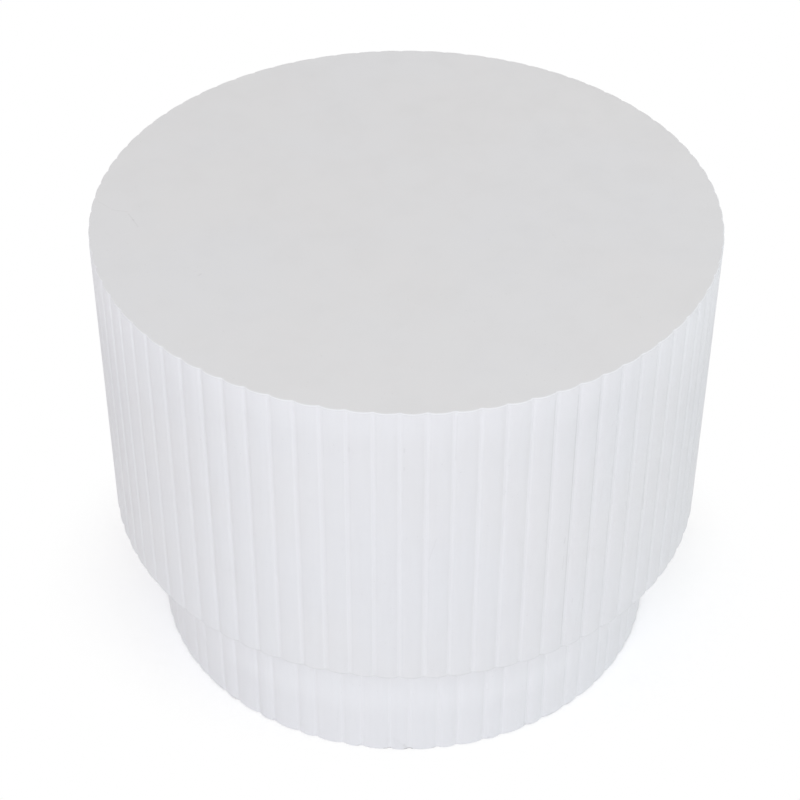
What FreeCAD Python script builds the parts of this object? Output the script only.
import FreeCAD, Part
import os
import re
import Sketcher

# A round end table cast in glass-fibre concrete. A hollow reeded drum stands on a smaller reeded
# plinth. The frame: origin on the floor under the middle, +Z up, -Y towards the front.
# Millimetres and degrees.

doc = FreeCAD.newDocument("end_table")
sheet = doc.addObject("Spreadsheet::Sheet", "Sizes")

SIZES = [
    # The whole
    ("table_height", 395, "floor to top face"),
    ("drum_diameter", 500, "over the crests of the drum's reeds"),
    ("drum_overhang", 35, "drum's crests beyond the plinth's crests"),
    ("underside_height", 125, "floor to the drum's lower edge"),
    # Reeds, alike on drum and plinth but for their number
    ("drum_reeds", 81, "equal reeds round the drum"),
    ("plinth_pairs", 34, "pairs of a wide and a narrow reed round the plinth"),
    ("wide_reed_share", 0.594, "part of a pair's angle that the wide reed takes"),
    ("groove_depth", 1.6, "crest to groove floor"),
    ("groove_floor", 1.7, "width of the flat floor of a groove"),
    ("groove_mouth", 5.2, "width of a groove between the reeds' shoulders"),
    ("reed_crown", 0.7, "rise of a reed's crest above its shoulders"),
    ("reed_root", 0.5, "depth of a reed's root below the groove floor"),
    # Drum casting
    ("slab_thickness", 20, "top slab"),
    ("skirt_wall", 17, "skirt behind the groove floors"),
    ("lip_wall", 8.5, "skirt beside the rebate, behind the groove floors"),
    ("skirt_haunch", 12, "slope between slab and skirt"),
    # Anchor blocks, bonded to the skirt's inner face
    ("block_thickness", 24, "web of a block"),
    ("block_height", 120, "web at the skirt"),
    ("boss_diameter", 36, "round boss about each thread insert"),
    ("boss_cover", 15, "concrete above each thread insert"),
    # Deck ring
    ("deck_thickness", 18, "ring that closes the drum's underside"),
    ("deck_clearance", 0.75, "radial gap between deck and rebate"),
    ("tape_thickness", 1, "foam tape between deck and shoulder, as clamped"),
    ("tape_margin", 1, "tape to the edges of the shoulder"),
    # Plinth casting
    ("plinth_wall", 22, "plinth behind the groove floors"),
    ("flange_thickness", 20, "flange inside the plinth's top"),
    ("flange_width", 41, "flange from the wall to the outside of its spigot"),
    ("flange_gusset", 10, "slope between flange and wall"),
    ("spigot_height", 10, "ring on the flange that enters the deck's hole"),
    ("spigot_wall", 11, "thickness of that ring"),
    ("spigot_clearance", 0.75, "radial gap between spigot and deck"),
    ("gasket_thickness", 1, "rubber sheet between plinth and deck"),
    ("gasket_margin", 6, "gasket's outer edge behind the groove floors"),
    ("gasket_clearance", 0.5, "gasket to spigot"),
    # Fasteners
    ("bolts", 6, "bolts, and all that goes with them, round the table"),
    ("bolt_diameter", 8, "M8 shank"),
    ("thread_engagement", 22, "shank inside the insert"),
    ("thread_spare", 4, "free bore beyond the shank"),
    ("bolt_tip", 1, "chamfer at the end of the shank"),
    ("bolt_hole_diameter", 9, "clearance hole for M8"),
    ("head_across_flats", 13, "M8 hexagon head"),
    ("head_height", 5.3, "M8 hexagon head"),
    ("washer_diameter", 24, "wide flat washer"),
    ("washer_thickness", 2, "wide flat washer"),
    ("washer_hole_diameter", 8.4, "flat and spring washer"),
    ("spring_washer_diameter", 14.8, "split spring washer"),
    ("spring_washer_thickness", 2, "split spring washer"),
    ("spring_washer_slit", 1.2, "gap in the split spring washer"),
    ("insert_diameter", 14, "barrel of the thread insert"),
    ("insert_collar_diameter", 18, "collars that key the insert in the concrete"),
    ("insert_collar_thickness", 2.5, "collars at both ends of the insert"),
    ("insert_end_wall", 4, "closed upper end of the insert"),
    ("thread_clearance", 0.1, "radial gap between shank and insert"),
    # Foot pads
    ("foot_pads", 8, "pads round the plinth's rim"),
    ("pad_length", 44, "along the rim"),
    ("pad_width", 12, "across the rim"),
    ("pad_thickness", 3, "rubber pad"),
    ("pad_proud", 1, "pad below the rim"),
    ("pad_corner", 5, "rounded corners of a pad"),
    ("pad_edge", 0.4, "bevel round a pad's sole"),
    ("pad_clearance", 0.3, "gap round a pad in its recess"),
]

# Sizes that follow from those of the sheet, in words.
DERIVED = {
    "drum_radius": "(drum_diameter / 2)",
    "drum_core": "(drum_radius - groove_depth)",
    "skirt_inner": "(drum_core - skirt_wall)",
    "rebate_radius": "(drum_core - lip_wall)",
    "slab_underside": "(table_height - slab_thickness)",
    "deck_top": "(underside_height + deck_thickness)",
    "shoulder_height": "(deck_top + tape_thickness)",
    "deck_radius": "(rebate_radius - deck_clearance)",
    "drum_pitch": "(360 / drum_reeds)",
    "plinth_radius": "(drum_radius - drum_overhang)",
    "plinth_core": "(plinth_radius - groove_depth)",
    "plinth_inner": "(plinth_core - plinth_wall)",
    "plinth_top": "(underside_height - gasket_thickness)",
    "flange_underside": "(plinth_top - flange_thickness)",
    "spigot_radius": "(plinth_inner - flange_width)",
    "flange_hole": "(spigot_radius - spigot_wall)",
    "deck_hole": "(spigot_radius + spigot_clearance)",
    "pair_pitch": "(360 / plinth_pairs)",
    "wide_pitch": "(pair_pitch * wide_reed_share)",
    "narrow_pitch": "(pair_pitch - wide_pitch)",
    "bolt_circle": "(spigot_radius + (flange_width - flange_gusset) / 2)",
    "washer_underside": "(flange_underside - washer_thickness)",
    "head_top": "(washer_underside - spring_washer_thickness)",
    "bolt_end": "(deck_top + thread_engagement)",
    "insert_bore": "(bolt_diameter / 2 + thread_clearance)",
    "insert_bore_end": "(bolt_end + thread_spare)",
    "insert_end": "(insert_bore_end + insert_end_wall)",
    "boss_top": "(insert_end + boss_cover)",
    "rim_middle": "(plinth_core - plinth_wall / 2)",
    "pad_recess": "(pad_thickness - pad_proud)",
}

for row, (alias, number, note) in enumerate(SIZES, start=1):
    sheet.set(f"A{row}", alias)
    sheet.set(f"B{row}", str(number))
    sheet.set(f"C{row}", note)
    sheet.setAlias(f"B{row}", alias)
doc.recompute()

ALIASES = {alias for alias, number, note in SIZES}


def bound(words):
    """The expression for a size given in words: derived names opened, sheet aliases addressed."""

    def swap(match):
        word = match.group(0)
        if word in DERIVED:
            return bound(DERIVED[word])
        return f"Sizes.{word}" if word in ALIASES else word

    return re.sub(r"[a-z_]+", swap, words)


def number_of(words):
    """What a size given in words comes to now."""
    return float(sheet.evalExpression(bound(words)))


def new_body(name):
    body = doc.addObject("PartDesign::Body", name)
    body.Label = name
    body.AllowCompound = True
    return body


def origin_feature(body, role):
    return next(feature for feature in body.Origin.OriginFeatures if feature.Role == role)


def new_sketch(body, name, plane, lift="0", turn="0"):
    """A sketch on one of the body's own planes, lifted off it and turned about its normal."""
    sketch = body.newObject("Sketcher::SketchObject", name)
    sketch.AttachmentSupport = [(origin_feature(body, plane), "")]
    sketch.MapMode = "FlatFace"
    sketch.AttachmentOffset = FreeCAD.Placement(
        FreeCAD.Vector(0, 0, number_of(lift)),
        FreeCAD.Rotation(FreeCAD.Vector(0, 0, 1), number_of(turn)),
    )
    sketch.setExpression("AttachmentOffset.Base.z", bound(lift))
    sketch.setExpression("AttachmentOffset.Rotation.Angle", bound(turn))
    return sketch


def hold(sketch, kind, geometry, words):
    """Bind one constraint of a sketch to a size: kind is its name, geometry what it holds."""
    index = sketch.addConstraint(Sketcher.Constraint(kind, *geometry, number_of(words)))
    sketch.setExpression(f"Constraints[{index}]", bound(words))


def hold_point(sketch, curve, end, x, y):
    """Hold one end of a curve at x, y from the sketch's origin."""
    for kind, axis, words in (("DistanceX", -2, x), ("DistanceY", -1, y)):
        if words == "0":
            sketch.addConstraint(Sketcher.Constraint("PointOnObject", curve, end, axis))
        else:
            hold(sketch, kind, (-1, 1, curve, end), words)


def vector(x, y):
    return FreeCAD.Vector(number_of(x), number_of(y), 0)


def outline(sketch, points):
    """A closed outline of straight lines, each corner held from the origin."""
    first = sketch.GeometryCount
    for start, end in zip(points, points[1:] + points[:1]):
        sketch.addGeometry(Part.LineSegment(vector(*start), vector(*end)), False)
    for index, (x, y) in enumerate(points):
        curve = first + index
        before = first + (index - 1) % len(points)
        sketch.addConstraint(Sketcher.Constraint("Coincident", before, 2, curve, 1))
        hold_point(sketch, curve, 1, x, y)


def circle(sketch, radius, x="0", y="0"):
    normal = FreeCAD.Vector(0, 0, 1)
    index = sketch.addGeometry(Part.Circle(vector(x, y), normal, number_of(radius)), False)
    hold_point(sketch, index, 3, x, y)
    hold(sketch, "Radius", (index,), radius)


def pad(body, name, sketch, length, midplane=False, down=False):
    feature = body.newObject("PartDesign::Pad", name)
    feature.Profile = sketch
    feature.setExpression("Length", bound(length))
    feature.Midplane = midplane
    feature.Reversed = down
    return feature


def pocket(body, name, sketch, length, upward=True):
    """Cut a sketch's outline out of the body, upward from the sketch's plane unless told not to."""
    feature = body.newObject("PartDesign::Pocket", name)
    feature.Profile = sketch
    feature.setExpression("Length", bound(length))
    feature.Reversed = upward
    return feature


def revolve(body, name, sketch, axis="V_Axis", cut=False):
    feature = body.newObject("PartDesign::Groove" if cut else "PartDesign::Revolution", name)
    feature.Profile = sketch
    feature.ReferenceAxis = (sketch, [axis])
    feature.Angle = 360
    return feature


def polar(body, name, features, count):
    """Repeat features round the table's axis."""
    feature = body.newObject("PartDesign::PolarPattern", name)
    feature.Originals = features
    feature.Axis = (origin_feature(body, "Z_Axis"), [""])
    feature.Angle = 360
    feature.setExpression("Occurrences", bound(count))
    body.Tip = feature
    return feature


def reed(body, name, core, pitch, turn, foot, height):
    """One reed of a fluted wall: a shallow arc between two shoulders, flanks that slope to the
    groove floors, and a root that bites into the core. It is drawn about the sketch's X axis
    and turned to its place round the table."""
    sketch = new_sketch(body, f"{name}_outline", "XY_Plane", lift=foot, turn=turn)
    crest = f"({core} + groove_depth)"
    shoulder_x = f"({crest} * cos({pitch} / 2) - reed_crown)"
    shoulder_y = f"({crest} * sin({pitch} / 2) - groove_mouth / 2)"
    floor_x = f"({core} * cos({pitch} / 2))"
    floor_y = f"({core} * sin({pitch} / 2) - groove_floor / 2)"
    flank_slope = f"(({floor_y} - {shoulder_y}) / ({shoulder_x} - {floor_x}))"
    root_x = f"({floor_x} - reed_root)"
    root_y = f"({floor_y} + {flank_slope} * reed_root)"
    rise = f"({crest} - {shoulder_x})"
    arc_radius = f"(({shoulder_y} ^ 2 + {rise} ^ 2) / (2 * {rise}))"
    low = f"(-1 * {shoulder_y})"
    low_root = f"(-1 * {root_y})"

    corners = [(shoulder_x, shoulder_y), (root_x, root_y), (root_x, low_root), (shoulder_x, low)]
    for start, end in zip(corners, corners[1:]):
        sketch.addGeometry(Part.LineSegment(vector(*start), vector(*end)), False)
    crest_arc = Part.Arc(vector(shoulder_x, low), vector(crest, "0"), vector(shoulder_x, shoulder_y))
    arc = sketch.addGeometry(crest_arc, False)
    for before, after in ((0, 1), (1, 2)):
        sketch.addConstraint(Sketcher.Constraint("Coincident", before, 2, after, 1))
    sketch.addConstraint(Sketcher.Constraint("Coincident", 2, 2, arc, 1))
    sketch.addConstraint(Sketcher.Constraint("Coincident", arc, 2, 0, 1))
    for line, (x, y) in enumerate(corners[:3]):
        hold_point(sketch, line, 1, x, y)
    hold_point(sketch, 2, 2, *corners[3])
    hold(sketch, "Radius", (arc,), arc_radius)
    return pad(body, name, sketch, height)


# Drum casting: top slab and reeded skirt in one, open below, with a rebate for the deck.

drum = new_body("drum_casting")
drum_section = new_sketch(drum, "drum_section", "XZ_Plane")
outline(drum_section, [
    ("0", "slab_underside"),
    ("skirt_inner - skirt_haunch", "slab_underside"),
    ("skirt_inner", "slab_underside - skirt_haunch"),
    ("skirt_inner", "shoulder_height"),
    ("rebate_radius", "shoulder_height"),
    ("rebate_radius", "underside_height"),
    ("drum_core", "underside_height"),
    ("drum_core", "table_height"),
    ("0", "table_height"),
])
revolve(drum, "drum_shell", drum_section)
drum_reed = reed(
    drum, "drum_reed", "drum_core", "drum_pitch", "-90 + drum_pitch / 2",
    "underside_height", "table_height - underside_height",
)
polar(drum, "drum_reeds", [drum_reed], "drum_reeds")


def insert_outline(sketch, bored):
    """Half the section of a thread insert: collar, barrel, collar. The seat for it in the concrete
    has the same outside and no bore."""
    barrel = "bolt_circle + insert_diameter / 2"
    collar = "bolt_circle + insert_collar_diameter / 2"
    low_collar = "deck_top + insert_collar_thickness"
    high_collar = "insert_end - insert_collar_thickness"
    outside = [
        (collar, "deck_top"),
        (collar, low_collar),
        (barrel, low_collar),
        (barrel, high_collar),
        (collar, high_collar),
        (collar, "insert_end"),
        ("bolt_circle", "insert_end"),
    ]
    if bored:
        inside = [
            ("bolt_circle", "insert_bore_end"),
            ("bolt_circle + insert_bore", "insert_bore_end"),
            ("bolt_circle + insert_bore", "deck_top"),
        ]
    else:
        inside = [("bolt_circle", "deck_top")]
    outline(sketch, outside + inside)
    axis = sketch.addGeometry(
        Part.LineSegment(vector("bolt_circle", "deck_top"), vector("bolt_circle", "insert_end")), True
    )
    hold_point(sketch, axis, 1, "bolt_circle", "deck_top")
    hold_point(sketch, axis, 2, "bolt_circle", "insert_end")


# Anchor blocks: each has a web bonded to the skirt, a boss that bears on the deck, and in the
# boss a keyed seat for a thread insert.


def anchor_block(number, turn):
    name = f"anchor_block_{number}"
    body = new_body(name)
    web_outline = new_sketch(body, f"web_outline_{number}", "XZ_Plane")
    outline(web_outline, [
        ("bolt_circle", "deck_top"),
        ("skirt_inner + block_thickness / 2", "deck_top"),
        ("skirt_inner + block_thickness / 2", "deck_top + block_height"),
        ("skirt_inner", "deck_top + block_height"),
        ("bolt_circle", "boss_top"),
    ])
    pad(body, f"web_{number}", web_outline, "block_thickness", midplane=True)
    boss_outline = new_sketch(body, f"boss_outline_{number}", "XY_Plane", lift="deck_top")
    circle(boss_outline, "boss_diameter / 2", "bolt_circle")
    pad(body, f"boss_{number}", boss_outline, "boss_top - deck_top")
    skirt_ring = new_sketch(body, f"skirt_ring_{number}", "XY_Plane", lift="deck_top")
    circle(skirt_ring, "skirt_inner")
    circle(skirt_ring, "skirt_inner + block_thickness")
    pocket(body, f"skirt_face_{number}", skirt_ring, "block_height")
    seat_section = new_sketch(body, f"seat_section_{number}", "XZ_Plane")
    insert_outline(seat_section, bored=False)
    revolve(body, f"insert_seat_{number}", seat_section, axis="Axis0", cut=True)
    body.setExpression("Placement.Rotation.Angle", bound(turn))


for place in range(int(number_of("bolts"))):
    anchor_block(place + 1, f"{place} * 360 / bolts")

# Deck ring: lies in the rebate, flush with the drum's lower edge.

deck = new_body("deck_ring")
deck_outline = new_sketch(deck, "deck_outline", "XY_Plane", lift="underside_height")
circle(deck_outline, "deck_radius")
circle(deck_outline, "deck_hole")
pad(deck, "deck_slab", deck_outline, "deck_thickness")
deck_bore = new_sketch(deck, "deck_bore", "XY_Plane", lift="underside_height")
circle(deck_bore, "bolt_hole_diameter / 2", "bolt_circle")
deck_hole = pocket(deck, "deck_bolt_hole", deck_bore, "deck_thickness")
polar(deck, "deck_bolt_holes", [deck_hole], "bolts")

# Foam tape between the deck's rim and the shoulder, which takes no load.

tape = new_body("deck_tape")
tape_outline = new_sketch(tape, "tape_outline", "XY_Plane", lift="deck_top")
circle(tape_outline, "rebate_radius - tape_margin")
circle(tape_outline, "skirt_inner + tape_margin")
pad(tape, "tape_ring", tape_outline, "tape_thickness")

# Plinth casting: a reeded wall with a flange inside its top. The ring on the flange enters the
# deck's hole and centres the plinth. The rim has a shallow recess for each foot pad.

plinth = new_body("plinth_casting")
plinth_section = new_sketch(plinth, "plinth_section", "XZ_Plane")
outline(plinth_section, [
    ("plinth_inner", "pad_proud"),
    ("plinth_core", "pad_proud"),
    ("plinth_core", "plinth_top"),
    ("spigot_radius", "plinth_top"),
    ("spigot_radius", "plinth_top + spigot_height"),
    ("flange_hole", "plinth_top + spigot_height"),
    ("flange_hole", "flange_underside"),
    ("plinth_inner - flange_gusset", "flange_underside"),
    ("plinth_inner", "flange_underside - flange_gusset"),
])
revolve(plinth, "plinth_shell", plinth_section)
plinth_reed_height = "plinth_top - pad_proud"
narrow_reed = reed(
    plinth, "narrow_reed", "plinth_core", "narrow_pitch", "-90", "pad_proud", plinth_reed_height,
)
wide_reed = reed(
    plinth, "wide_reed", "plinth_core", "wide_pitch", "-90 + pair_pitch / 2", "pad_proud",
    plinth_reed_height,
)
polar(plinth, "plinth_reeds", [narrow_reed, wide_reed], "plinth_pairs")
flange_bore = new_sketch(plinth, "flange_bore", "XY_Plane", lift="flange_underside")
circle(flange_bore, "bolt_hole_diameter / 2", "bolt_circle")
flange_hole = pocket(plinth, "flange_bolt_hole", flange_bore, "flange_thickness")
polar(plinth, "flange_bolt_holes", [flange_hole], "bolts")


def pad_outline(body, name, lift, clearance):
    """The outline of a foot pad under the front of the rim, larger all round by the clearance."""
    sketch = new_sketch(body, name, "XY_Plane", lift=lift)
    half_length = f"pad_length / 2 + {clearance}"
    near = f"-1 * (rim_middle + pad_width / 2 + {clearance})"
    far = f"-1 * (rim_middle - pad_width / 2 - {clearance})"
    outline(sketch, [
        (f"-1 * ({half_length})", near),
        (half_length, near),
        (half_length, far),
        (f"-1 * ({half_length})", far),
    ])
    return sketch


recess_outline = pad_outline(plinth, "recess_outline", "pad_proud", "pad_clearance")
pad_recess = pocket(plinth, "pad_recess", recess_outline, "pad_recess")
polar(plinth, "pad_recesses", [pad_recess], "foot_pads")

# Rubber gasket between the plinth's top and the deck.

gasket = new_body("plinth_gasket")
gasket_outline = new_sketch(gasket, "gasket_outline", "XY_Plane", lift="plinth_top")
circle(gasket_outline, "plinth_core - gasket_margin")
circle(gasket_outline, "spigot_radius + gasket_clearance")
pad(gasket, "gasket_ring", gasket_outline, "gasket_thickness")
gasket_bore = new_sketch(gasket, "gasket_bore", "XY_Plane", lift="plinth_top")
circle(gasket_bore, "bolt_hole_diameter / 2", "bolt_circle")
gasket_hole = pocket(gasket, "gasket_bolt_hole", gasket_bore, "gasket_thickness")
polar(gasket, "gasket_bolt_holes", [gasket_hole], "bolts")

# Thread inserts, cast into the bosses.

inserts = new_body("thread_inserts")
insert_section = new_sketch(inserts, "insert_section", "XZ_Plane")
insert_outline(insert_section, bored=True)
thread_insert = revolve(inserts, "thread_insert", insert_section, axis="Axis0")
polar(inserts, "insert_circle", [thread_insert], "bolts")

# Clamp bolts, put in from below.

bolt = new_body("clamp_bolts")
bolt_section = new_sketch(bolt, "bolt_section", "XZ_Plane")
outline(bolt_section, [
    ("bolt_circle", "head_top"),
    ("bolt_circle + bolt_diameter / 2", "head_top"),
    ("bolt_circle + bolt_diameter / 2", "bolt_end - bolt_tip"),
    ("bolt_circle + bolt_diameter / 2 - bolt_tip", "bolt_end"),
    ("bolt_circle", "bolt_end"),
])
bolt_axis = bolt_section.addGeometry(
    Part.LineSegment(vector("bolt_circle", "head_top"), vector("bolt_circle", "bolt_end")), True
)
hold_point(bolt_section, bolt_axis, 1, "bolt_circle", "head_top")
hold_point(bolt_section, bolt_axis, 2, "bolt_circle", "bolt_end")
shank = revolve(bolt, "shank", bolt_section, axis="Axis0")
head_outline = new_sketch(bolt, "head_outline", "XY_Plane", lift="head_top")
corner_radius = "head_across_flats / (2 * cos(30))"
outline(head_outline, [
    (f"bolt_circle + {corner_radius} * cos({angle})", f"{corner_radius} * sin({angle})")
    for angle in range(30, 390, 60)
])
head = pad(bolt, "head", head_outline, "head_height", down=True)
polar(bolt, "bolts_round", [shank, head], "bolts")

# Flat and split spring washers under the bolt heads.

washers = new_body("flat_washers")
washer_outline = new_sketch(washers, "washer_outline", "XY_Plane", lift="washer_underside")
circle(washer_outline, "washer_diameter / 2", "bolt_circle")
circle(washer_outline, "washer_hole_diameter / 2", "bolt_circle")
washer = pad(washers, "washer", washer_outline, "washer_thickness")
polar(washers, "washer_circle", [washer], "bolts")

spring_washers = new_body("lock_washers")
spring_outline = new_sketch(spring_washers, "spring_outline", "XY_Plane", lift="head_top")
circle(spring_outline, "spring_washer_diameter / 2", "bolt_circle")
circle(spring_outline, "washer_hole_diameter / 2", "bolt_circle")
spring_ring = pad(spring_washers, "spring_ring", spring_outline, "spring_washer_thickness")
slit_outline = new_sketch(spring_washers, "slit_outline", "XY_Plane", lift="head_top")
outline(slit_outline, [
    ("bolt_circle - spring_washer_diameter", "-1 * spring_washer_slit / 2"),
    ("bolt_circle", "-1 * spring_washer_slit / 2"),
    ("bolt_circle", "spring_washer_slit / 2"),
    ("bolt_circle - spring_washer_diameter", "spring_washer_slit / 2"),
])
slit = pocket(spring_washers, "slit", slit_outline, "spring_washer_thickness")
polar(spring_washers, "spring_washer_circle", [spring_ring, slit], "bolts")

# Foot pads, the first under the front of the rim.


def upright_edges(shape):
    """The names of a shape's straight upright edges."""
    return [
        f"Edge{index}"
        for index, edge in enumerate(shape.Edges, start=1)
        if edge.BoundBox.XLength + edge.BoundBox.YLength < edge.BoundBox.ZLength
    ]


def lowest_edges(shape):
    """The names of the edges round a shape's lowest face."""
    middle = (shape.BoundBox.ZMin + shape.BoundBox.ZMax) / 2
    return [
        f"Edge{index}"
        for index, edge in enumerate(shape.Edges, start=1)
        if edge.BoundBox.ZMax < middle
    ]


def foot_pad(number, turn):
    body = new_body(f"foot_pad_{number}")
    sole = pad_outline(body, f"sole_outline_{number}", "0", "0")
    block = pad(body, f"pad_block_{number}", sole, "pad_thickness")
    doc.recompute()
    rounded = body.newObject("PartDesign::Fillet", f"pad_corners_{number}")
    rounded.Base = (block, upright_edges(block.Shape))
    rounded.setExpression("Radius", bound("pad_corner"))
    doc.recompute()
    eased = body.newObject("PartDesign::Chamfer", f"pad_sole_{number}")
    eased.Base = (rounded, lowest_edges(rounded.Shape))
    eased.setExpression("Size", bound("pad_edge"))
    body.setExpression("Placement.Rotation.Angle", bound(turn))


for place in range(int(number_of("foot_pads"))):
    foot_pad(place + 1, f"{place} * 360 / foot_pads")

doc.recompute()

# Every object has to be sound before any file is written.

for item in doc.Objects:
    if "Invalid" in item.State or "Error" in item.State:
        raise RuntimeError(f"{item.Name} failed: {item.State}")

bodies = [item for item in doc.Objects if item.TypeId == "PartDesign::Body"]
for body in bodies:
    if body.Shape.isNull() or not body.Shape.isValid():
        raise RuntimeError(f"{body.Label} has no valid shape")

os.makedirs("parts", exist_ok=True)
for body in bodies:
    body.Shape.exportStep(f"parts/{body.Label}.step")
    volume = body.Shape.Volume
    print(f"{body.Label}: {len(body.Shape.Solids)} solids, {volume:.0f} mm3")
